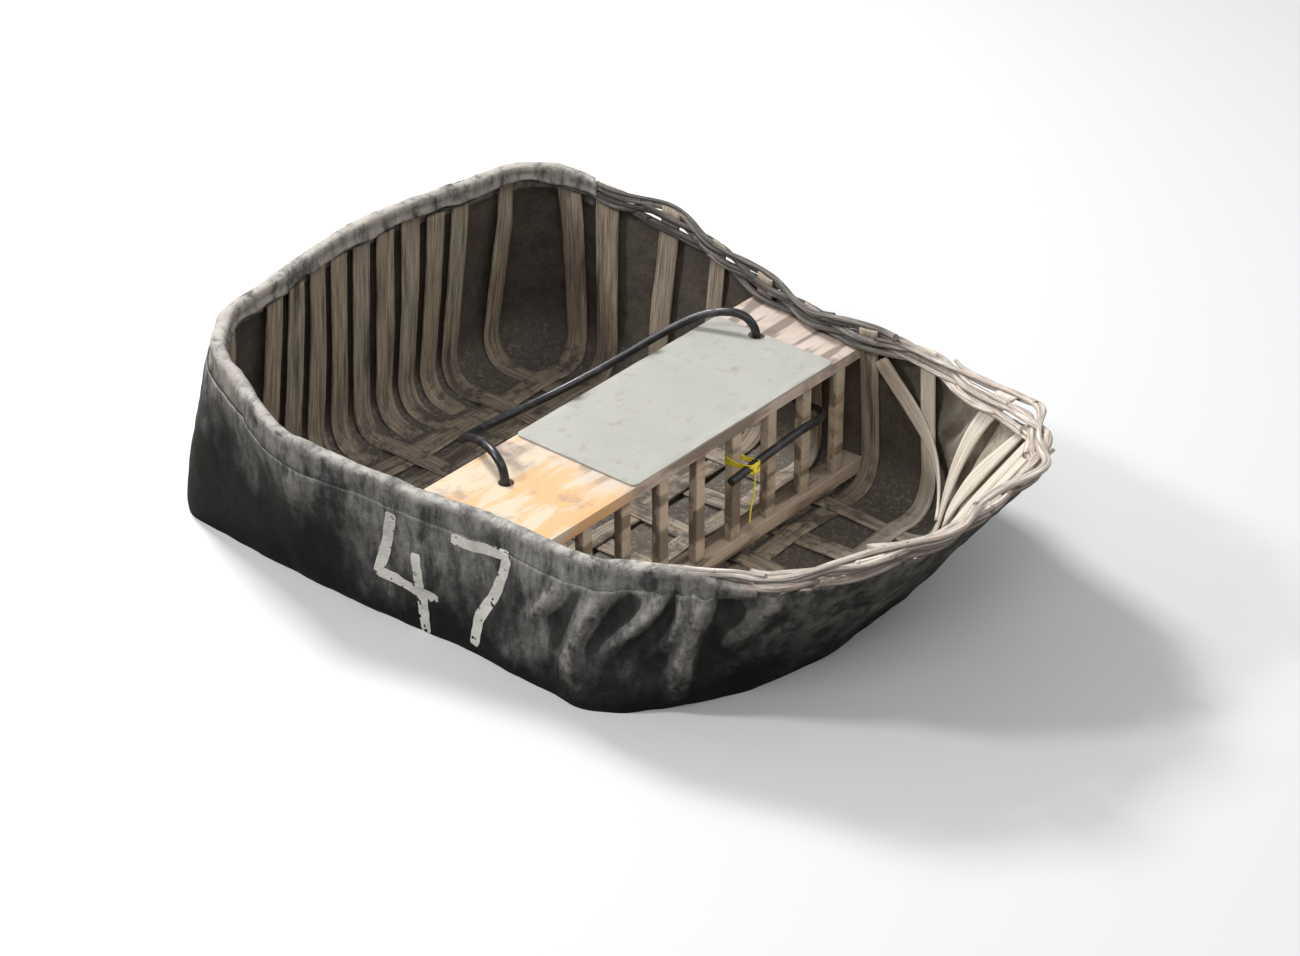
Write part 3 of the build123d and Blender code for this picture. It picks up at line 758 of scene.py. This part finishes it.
def rod_line(name):
    """The middle line of a woven rod: the middle of its cut at each angle round the boat."""
    mesh = node[name].data
    points = np.array([tuple(v.co) for v in mesh.vertices])
    edges = np.array([tuple(e.vertices) for e in mesh.edges])
    spots = points - np.array([*CENTRE, 0])
    line = []
    for k in range(ROD_SAMPLES):
        angle = 2 * math.pi * k / ROD_SAMPLES
        side = spots @ np.array([-math.sin(angle), math.cos(angle), 0])
        ahead = spots @ np.array([math.cos(angle), math.sin(angle), 0])
        first, second = side[edges[:, 0]], side[edges[:, 1]]
        cut = (first * second < 0) & (ahead[edges[:, 0]] > 0)
        share = (first[cut] / (first[cut] - second[cut]))[:, None]
        cuts = points[edges[cut, 0]] * (1 - share) + points[edges[cut, 1]] * share
        line.append((cuts.min(0) + cuts.max(0)) / 2)
    return np.array(line)


def add_tube(points, faces, line, radii, closed=False):
    """Add rings of points round a line, and the faces that join them, to a mesh."""
    line = np.array(line)
    along = unit(np.roll(line, -1, 0) - np.roll(line, 1, 0) if closed
                 else np.gradient(line, axis=0))
    side = unit(np.cross(along, [0, 0, 1]))
    over = np.cross(side, along)
    starts = [len(points) + i * ROD_SIDES for i in range(len(line))]
    for i, spot in enumerate(line):
        for k in range(ROD_SIDES):
            angle = 2 * math.pi * k / ROD_SIDES
            points.append(spot + radii[i] * (math.cos(angle) * side[i]
                                             + math.sin(angle) * over[i]))
    for this, after in zip(starts, starts[1:] + starts[:1] if closed else starts[1:]):
        for k in range(ROD_SIDES):
            m = (k + 1) % ROD_SIDES
            faces.append((this + k, after + k, after + m, this + m))
    if not closed:
        faces.append(tuple(reversed(range(starts[0], starts[0] + ROD_SIDES))))
        faces.append(tuple(range(starts[-1], starts[-1] + ROD_SIDES)))


def withy_bark():
    coat = Finish("withy_bark", 0.8, 0.3)
    stern = coat.ramp(coat.about("X", 0.2, 5, 3), 0.0, -0.24)
    grain = coat.patches(0.28, 0.66, 1, 7, 0.72, (330, 12, 1), "UV")
    tone = coat.patches(0.35, 0.65, 1, 2, 0.5, (14, 1.5, 1), "UV")
    pale = coat.mix(grain, (0.28, 0.21, 0.16), (0.86, 0.79, 0.71))
    pink = coat.mix(grain, (0.3, 0.205, 0.16), (0.78, 0.64, 0.56))
    dark = coat.mix(grain, (0.012, 0.011, 0.011), (0.17, 0.15, 0.135))
    grey = coat.mix(grain, (0.06, 0.054, 0.048), (0.36, 0.33, 0.3))
    bark = coat.mix(stern, coat.lay(grey, dark, tone, 0.7), coat.lay(pink, pale, tone, 0.6))
    stain = coat.mix(stern, (0.012, 0.012, 0.013), (0.15, 0.115, 0.095))
    coat.colour(coat.mix(coat.patches(0.58, 0.7, 21, 6, 0.7), bark, stain))
    coat.bump((grain, 0.9, 0.0024), (coat.cloud(90, 4), 0.5, 0.002))
    return coat.material


bark = withy_bark()
rod_lines = [rod_line(f"gunwale_rod_{course + 1}") for course in range(COURSES)]
weave_middle = np.mean(rod_lines, axis=0)
outward = weave_middle - np.array([*CENTRE, 0])
outward[:, 2] = 0
outward = unit(outward)


def withy_path(line, first, number, seed):
    """The middle line of a withy, which winds about the line of its course, and its radii."""
    way = 1 if (seed // 3) % 2 else -1
    path, radii = [], []
    for step in range(WITHY_SPAN):
        i = (first + step) % ROD_SAMPLES
        share = step / (WITHY_SPAN - 1)
        x, y, z = line[i]
        cover = under_hem(x, y)
        off = (line[i] - weave_middle[i]) @ outward[i] * (1 + (HIDDEN_WEAVE - 1) * cover)
        middle = weave_middle[i] + outward[i] * off
        middle[2] = z
        around = WITHY_TWIST * soft_noise(x, y, 0, 4, seed) + number * WITHY_TURN
        lap = WITHY_APART * (1 - HIDDEN_CLOSER * cover)
        middle += outward[i] * (lap * math.cos(around)
                                + WITHY_WANDER * soft_noise(x, y, 0, 22, seed))
        middle[2] += lap * math.sin(around) + WITHY_SAG * soft_noise(x, y, 3, 18, seed)
        ends = max(0, 1 - share / STRAY_SHARE) + max(0, (share - 1) / STRAY_SHARE + 1)
        stray = ends ** 2 * WITHY_STRAY * (1 - cover)
        middle += outward[i] * stray * way
        middle[2] += stray * 0.5
        beyond = (middle - weave_middle[i]) @ outward[i] - FLAP_ROOM
        if beyond > 0 and y > 0 and FLAP_FROM < x < FLAP_TO:
            middle -= outward[i] * beyond
        path.append(middle)
        radii.append((WITHY_BUTT + (WITHY_TIP - WITHY_BUTT) * share)
                     * (1 - HIDDEN_THINNER * cover)
                     * (1 + WITHY_KNOBS * soft_noise(x, y, 0, 25, seed + 3)))
    path = np.array(path)
    ease_line(path, 3)
    return path, radii


for course, line in enumerate(rod_lines):
    points, faces, uv = [], [], []
    for number in range(WITHIES):
        seed = course * 17 + number * 5
        first = int(ROD_SAMPLES * (number / WITHIES + course * COURSE_SHIFT / WITHIES))
        path, radii = withy_path(line, first + (seed * 7) % 23, number, seed)
        add_tube(points, faces, path, radii)
        uv += [(k * WITHY_GRAIN + seed * 0.61, gone)
               for gone in travel(path) for k in range(ROD_SIDES)]
    rod = piece_from(f"gunwale_withies_{course + 1}", points, faces, [bark], uv)
    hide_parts(f"gunwale_rod_{course + 1}")


# Hem: the edge of the calico, turned in over the rods and pitched down. Outside it runs on
# into the skin, and a little further aft than inside, where its edge hangs loose and uneven.
HEM_STEPS = 22
HEM_RISE = 0.36  # shares of its section where the outside ends, the inside begins
HEM_TURN = 0.74
HEM_WIDE = 0.027
HEM_TOP = 0.0028  # above the sheer line
HEM_SHOULDER = 0.013  # from the ridge down to where the sides begin
HEM_OUTSIDE = 0.066  # from the ridge down to its edges
HEM_INSIDE = 0.034
HEM_THICK = 0.0016
HEM_SUNK = 0.0034  # how deep its outer edge is pressed into the skin
HEM_PROUD = 0.0042
HEM_ENDS = 6  # columns over which its bumps fade at each end
FLAP_SHARE = 0.46  # of its section, left out where it covers only the outside
FLAP_WIDER = 0.009
FLAP_LOWER = 0.026  # how far its top comes down at the aft end
RIM_WEAR = 1.5  # how worn its ridge is
weave_angles = np.array([math.atan2(p[1], p[0] - CENTRE.x) % (2 * math.pi)
                         for p in weave_middle])
weave_reach = np.hypot(weave_middle[:, 0] - CENTRE.x, weave_middle[:, 1])
order = np.argsort(weave_angles)


def weave_middle_reach(angle):
    return float(np.interp(angle % (2 * math.pi), weave_angles[order], weave_reach[order],
                           period=2 * math.pi))


def has_hem(angle):
    reach = weave_middle_reach(angle)
    x, y = CENTRE.x + math.cos(angle) * reach, math.sin(angle) * reach
    return (x > FLAP_FROM) if y > 0 else (x > HEM_TO)


def over_ridge(share, start):
    """Half a turn over the ridge, which starts at a share of the section."""
    return math.pi * min(max((share - start) / 0.5, 0), 1)


covered = [j for j in range(AROUND) if has_hem(angles[j])]
first = next(j for j in covered if not has_hem(angles[j - 1]))
columns = [(first + k) % AROUND for k in range(len(covered))]
hem_points, hem_wear = [], []
for number, j in enumerate(columns):
    angle = angles[j]
    out = Vector((math.cos(angle), math.sin(angle), 0))
    middle = weave_middle_reach(angle)
    x, y, _ = Vector((*CENTRE, 0)) + out * middle
    flap = 1 - smoothstep(HEM_FROM - 0.03, HEM_FROM + 0.01, x) if y > 0 else 0
    lowered = 1 - smoothstep(FLAP_FROM, FLAP_FROM + 0.12, x) if y > 0 else 0
    ridge = sheer_height(x) + HEM_TOP
    top = ridge - FLAP_LOWER * lowered
    low_out = ridge - HEM_OUTSIDE - 0.006 * soft_noise(x, y, 0, 15)
    low_in = top - HEM_INSIDE - 0.009 * soft_noise(x, y, 0, 19, 8)
    wide = HEM_WIDE * (1 + 0.16 * soft_noise(x, y, 0, 9, 3)) + FLAP_WIDER * flap
    shoulder = top - HEM_SHOULDER
    ends = min(number, len(columns) - 1 - number) / HEM_ENDS
    for k in range(HEM_STEPS + 1):
        share = k / HEM_STEPS * (1 - FLAP_SHARE * flap)
        if share < HEM_RISE:
            up = share / HEM_RISE
            z = low_out + (shoulder - low_out) * up
            r = skin_reach(j, min(z, edge_points[j].z)) - HEM_SUNK
            r += HEM_PROUD * smoothstep(0, 0.6, up)
            ease = smoothstep(0, 1, up)
            r = r * (1 - ease) + (middle + wide / 2) * ease
        elif share < HEM_TURN:
            turn = math.pi * (share - HEM_RISE) / (HEM_TURN - HEM_RISE)
            r = middle + wide / 2 * math.cos(turn)
            z = shoulder + HEM_SHOULDER * math.sin(turn) ** 0.75
        else:
            down = (share - HEM_TURN) / (1 - HEM_TURN)
            r = middle - wide / 2 + 0.003 * math.sin(math.pi * down) - 0.0015 * down
            z = shoulder + (low_in - shoulder) * down
        bumpy = 0.0026 * uneven(x * 24, y * 24, k * 0.22)
        bumpy += 0.0012 * uneven(x * 75, y * 75, k * 0.5)
        bumpy *= smoothstep(0.0, 0.25, share) * min(ends, 1)
        turn = over_ridge(share, 0.3)
        p = Vector((*CENTRE, 0)) + out * (r + bumpy * math.cos(turn))
        hem_points.append((p.x, p.y, z + bumpy * math.sin(turn)))
        hem_wear.append(RIM_WEAR * math.sin(over_ridge(share, 0.27)))
hem_faces = grid_faces(len(columns), HEM_STEPS + 1, False)
hem = piece_from("hem_cloth", hem_points, hem_faces, [tarred])
mark_proud(hem, hem_wear)
thicken(hem, HEM_THICK)
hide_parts("hem")


# Number: two figures brushed on the port side in white, worn and chipped toward the bottom.
# Each stroke is a film of paint that follows the cloth.
PAINT_WIDE = 0.021
PAINT_RAGGED = 0.16
PAINT_PROUD = 0.0005
PAINT_STEP = 0.003
PAINT_EASING = 12
PAINT_COLUMNS = 7
# Brush strokes, seen from the port side: x and z of their points
FIGURES = [
    [(0.158, 0.296), (0.176, 0.235), (0.196, 0.164)],
    [(0.198, 0.166), (0.140, 0.158), (0.072, 0.152)],
    [(0.112, 0.232), (0.106, 0.160), (0.100, 0.076)],
    [(0.040, 0.286), (-0.015, 0.284), (-0.078, 0.292)],
    [(-0.076, 0.290), (-0.050, 0.215), (-0.014, 0.150), (-0.004, 0.092)],
]
cloth_points = [Vector(p) for p in skin_points.reshape(-1, 3)]
cloth_faces = grid_faces(len(rows), AROUND)
cloth_faces += [tuple(len(cloth_points) + v for v in face) for face in hem_faces]
cloth_points += [Vector(p) for p in hem_points]
cloth_surface = BVHTree.FromPolygons(cloth_points, cloth_faces)


def white_paint():
    coat = Finish("white_paint", 0.6, 0.4)
    coat.colour(coat.mix(coat.cloud(60, 6, 0.7), (0.5, 0.48, 0.43), (0.86, 0.84, 0.78)))
    coat.bump((coat.cloud(24, 7, 0.66), 0.8, 0.006), (coat.cloud(140, 5), 0.4, 0.0012))
    return coat.material


def chipped(x, z, rim):
    """Whether the paint has come off: toward a stroke's rims, and low down."""
    chip = uneven(x * 85, z * 85, 4)
    chip += 0.5 * uneven(x * 230, z * 230, 7)
    return chip > 0.75 - 0.25 * rim - 0.30 * (1 - smoothstep(0.08, 0.20, z))


paint_points, paint_faces = [], []
for number, stroke in enumerate(FIGURES):
    path = np.array([(x, 0, z) for x, z in stroke])
    count = int(travel(path)[-1] / PAINT_STEP) + 2
    path = resample(path, count)
    ease_line(path, PAINT_EASING)
    along = unit(np.gradient(path, axis=0))
    base = len(paint_points)
    for i in range(count):
        px, _, pz = path[i]
        blunt = min(1, 0.72 + 0.14 * min(i, count - 1 - i))
        for k in range(PAINT_COLUMNS):
            share = 2 * k / (PAINT_COLUMNS - 1) - 1
            wander = uneven(px * 60, pz * 60, share * 3 + number)
            off = share * PAINT_WIDE / 2 * (1 + PAINT_RAGGED * wander) * blunt
            start = Vector((px - along[i][2] * off, 1, pz + along[i][0] * off))
            hit, face_normal = cloth_surface.ray_cast(start, Vector((0, -1, 0)))[:2]
            paint_points.append(hit + face_normal * PAINT_PROUD)
    for i in range(count - 1):
        for k in range(PAINT_COLUMNS - 1):
            corner = base + i * PAINT_COLUMNS + k
            x, _, z = paint_points[corner]
            if chipped(x, z, abs(2 * (k + 0.5) / (PAINT_COLUMNS - 1) - 1)):
                continue
            paint_faces.append((corner, corner + PAINT_COLUMNS, corner + PAINT_COLUMNS + 1,
                                corner + 1))
figures = piece_from("painted_number", paint_points, paint_faces, [white_paint()])


# Seat: a plank let in under the gunwale and resting on the laths, a square hole at each side
# for the strap. The port end is fresh and orange, the other end grey. Sawn slats and a rail
# below it close off the stern.
PLANK_TONES = (0.36, 0.285, 0.235), (0.62, 0.53, 0.46)
SLAT_TONES = (0.33, 0.255, 0.185), (0.62, 0.52, 0.41)
FRESH_WOOD = (0.60, 0.36, 0.18)
SHARP_EDGE = 0.6  # radians between two faces


def sawn_wood(name, dark, light, stain=None):
    coat = Finish(name, 0.72, 0.35)
    grain = coat.cloud(1, 7, 0.68, (150, 6, 90))
    rings = coat.cloud(1, 4, 0.5, (34, 3.0, 20))
    wood = coat.mix(grain, dark, light)
    wood = coat.mix(coat.ramp(rings, 0.48, 0.56), wood, tuple(c * 0.62 for c in dark))
    if stain:
        port = coat.ramp(coat.about("Y", 0.2, 14, 5, 0.6), 0.22, 0.36)
        patch = coat.patches(0.46, 0.6, 16, 4, 0.6, (1.3, 0.35, 1))
        wood = coat.mix(port, wood, (0.56, 0.46, 0.34))
        wood = coat.lay(stain, wood, patch, port)
    dirt = coat.patches(0.5, 0.72, 11, 5, 0.65)
    coat.colour(coat.mix(dirt, wood, tuple(c * 0.7 for c in dark)))
    coat.bump((grain, 0.4, 0.001), (rings, 0.3, 0.0012))
    return coat.material


def eased_copy(name, width, material, step, wobble):
    """A copy of a CAD piece with its edges worn round and its faces not quite true."""
    mesh = node[name].data.copy()
    mesh.materials.clear()
    mesh.materials.append(material)
    work = bmesh.new()
    work.from_mesh(mesh)
    bmesh.ops.remove_doubles(work, verts=work.verts, dist=0.00001)
    sharp = [e for e in work.edges
             if len(e.link_faces) == 2 and e.calc_face_angle(0) > SHARP_EDGE]
    bmesh.ops.bevel(work, geom=sharp, offset=width, segments=2, profile=0.6,
                    affect="EDGES", clamp_overlap=True)
    low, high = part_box(name)
    for axis in range(3):
        normal = Vector((0, 0, 0))
        normal[axis] = 1
        cuts = int((high[axis] - low[axis]) / step)
        for k in range(1, cuts + 1):
            spot = low.copy()
            spot[axis] += (high[axis] - low[axis]) * k / (cuts + 1)
            bmesh.ops.bisect_plane(work, geom=[*work.verts, *work.edges, *work.faces],
                                   plane_co=spot, plane_no=normal)
    work.normal_update()
    for vert in work.verts:
        shift = noise.noise(vert.co * 24 + Vector((3, 1, 2)))
        vert.co += vert.normal * shift * wobble
    work.to_mesh(mesh)
    work.free()
    for polygon in mesh.polygons:
        polygon.use_smooth = True
    piece = aboard(name + "_worn", mesh)
    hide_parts(name)


plank_wood = sawn_wood("plank_wood", *PLANK_TONES, FRESH_WOOD)
slat_wood = sawn_wood("slat_wood", *SLAT_TONES)
eased_copy("seat_plank", 0.0022, plank_wood, 0.03, 0.0006)
eased_copy("seat_rail", 0.0025, slat_wood, 0.03, 0.001)
for number in range(1, 10):
    eased_copy(f"seat_slat_{number}", 0.0018, slat_wood, 0.02, 0.0009)


# Mat: a thin sheet of pale lino laid over the starboard part of the seat, its edges worn
# and a little lifted.
def lino():
    coat = Finish("lino", 0.55, 0.4)
    tone = coat.mix(coat.cloud(6, 5, 0.6), (0.29, 0.285, 0.255), (0.385, 0.38, 0.345))
    dirt = coat.patches(0.52, 0.8, 34, 6, 0.7)
    coat.colour(coat.mix(dirt, tone, (0.24, 0.23, 0.2)))
    coat.bump((coat.cloud(90, 4), 0.12, 0.0008))
    return coat.material


eased_copy("seat_mat", 0.0014, lino(), 0.02, 0.0005)


# Twine: yellow plastic twine, wound round one slat and the strap's tail and knotted, one end
# left hanging.
TWINE_RADIUS = 0.0015
TIE_TURNS = 5
TIE_STEPS = 40
TIE_LOW, TIE_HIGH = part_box("twine_tie")
TIE_MIDDLE = (TIE_LOW + TIE_HIGH) / 2
TIE_REACH = (TIE_HIGH - TIE_LOW) / 2 - Vector([TWINE_RADIUS] * 3)
KNOT = Vector((TIE_LOW.x + 0.001, TIE_MIDDLE.y + 0.004, TIE_MIDDLE.z))
KNOT_LOBES = 3
KNOT_RADIUS = 0.0052


def plastic_twine():
    coat = Finish("plastic_twine", 0.45, 0.5)
    coat.colour(coat.mix(coat.cloud(300, 3), (0.66, 0.52, 0.008), (0.95, 0.84, 0.04)))
    coat.bump((coat.cloud(1, 3, 0.5, (900, 900, 120)), 0.5, 0.0005))
    return coat.material


twine = plastic_twine()
tie_points, tie_faces = [], []
tie_angles = [2 * math.pi * k / TIE_STEPS for k in range(TIE_STEPS)]
for turn in range(TIE_TURNS):
    share = turn / (TIE_TURNS - 1) - 0.5
    loop = []
    for angle in tie_angles:
        square = (abs(math.cos(angle)) ** 5 + abs(math.sin(angle)) ** 5) ** -0.2
        slant = 0.7 * TIE_REACH.z * math.cos(angle) * (1 if turn % 2 else -1)
        loop.append((TIE_MIDDLE.x + TIE_REACH.x * math.cos(angle) * square,
                     TIE_MIDDLE.y + TIE_REACH.y * math.sin(angle) * square,
                     TIE_MIDDLE.z + slant + share * 0.5 * TIE_REACH.z))
    add_tube(tie_points, tie_faces, loop, [TWINE_RADIUS] * TIE_STEPS, True)
for lobe in range(KNOT_LOBES):
    loop = []
    for angle in tie_angles:
        swing = Vector((0.30 * math.sin(2 * angle), math.cos(angle + lobe), math.sin(angle)))
        loop.append(tuple(KNOT + swing * (KNOT_RADIUS - 0.0009 * lobe)))
    add_tube(tie_points, tie_faces, loop, [TWINE_RADIUS] * TIE_STEPS, True)
tie = piece_from("twine_turns", tie_points, tie_faces, [twine])
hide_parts("twine_tie")

TAIL_LOW, TAIL_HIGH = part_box("twine_tail")
tail_x, tail_y = TAIL_LOW.x + TWINE_RADIUS, TAIL_LOW.y + TWINE_RADIUS
TAIL_ROUTE = [(tail_x, tail_y, TAIL_HIGH.z), (tail_x, tail_y + 0.002, TAIL_HIGH.z - 0.032),
              (tail_x + 0.002, tail_y + 0.009, TAIL_HIGH.z - 0.062),
              (tail_x + 0.001, tail_y + 0.013, TAIL_HIGH.z - 0.092)]
tail = route_curve("twine_end", TAIL_ROUTE, 2 * TWINE_RADIUS, twine)
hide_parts("twine_tail")


# Floor and light: a pale floor at the height to which the boat sinks in water, open inside
# the hull, under two strong lamps ahead and broad soft ones behind.
WATERLINE = 0.075
FLOOR_HALF = 14
LAMP_AIM = (0, 0, 0.2)
# Lamps: place, size, power
LAMPS = [((3.2, -0.7, 3.9), 1.0, 250), ((2.4, 3.0, 3.6), 0.6, 130), ((-2.4, 2.6, 4.4), 2.4, 70),
         ((-3.4, -2.4, 3.8), 3.0, 50)]
SKY = (0.86, 0.88, 0.90)
SKY_STRENGTH = 0.50


def pale_floor():
    """Pale to the camera, but darker where it lights the boat from below."""
    coat = Finish("pale_floor", 0.9, 0.0)
    seen = coat.add("ShaderNodeLightPath").outputs["Is Camera Ray"]
    coat.colour(coat.mix(seen, (0.1, 0.095, 0.085), (0.62, 0.62, 0.615)))
    return coat.material


ring = []
for j in range(AROUND):
    wall = skin_points[:WALL_ROWS, j]
    x, y = (float(np.interp(-WATERLINE, -wall[:, 2], wall[:, axis])) for axis in range(2))
    inward = Vector((CENTRE.x - x, -y)).normalized() * SKIN_THICK / 2
    ring.append((x + inward.x, y + inward.y, WATERLINE))
far = [(CENTRE.x + FLOOR_HALF * math.cos(angle), FLOOR_HALF * math.sin(angle), WATERLINE)
       for angle in angles]
floor_mesh = bpy.data.meshes.new("floor")
floor_mesh.from_pydata(ring + far, [], grid_faces(2, AROUND))
floor_mesh.materials.append(pale_floor())
floor = bpy.data.objects.new("floor", floor_mesh)
scene.collection.objects.link(floor)

for place, size, power in LAMPS:
    lamp = bpy.data.lights.new("lamp", "AREA")
    lamp.size = size
    lamp.energy = power
    holder = bpy.data.objects.new("lamp", lamp)
    holder.location = place
    holder.rotation_euler = facing(place, LAMP_AIM)
    scene.collection.objects.link(holder)
world = bpy.data.worlds.new("studio")
scene.world = world
world.use_nodes = True
sky = world.node_tree.nodes["Background"]
sky.inputs["Color"].default_value = (*SKY, 1)
sky.inputs["Strength"].default_value = SKY_STRENGTH
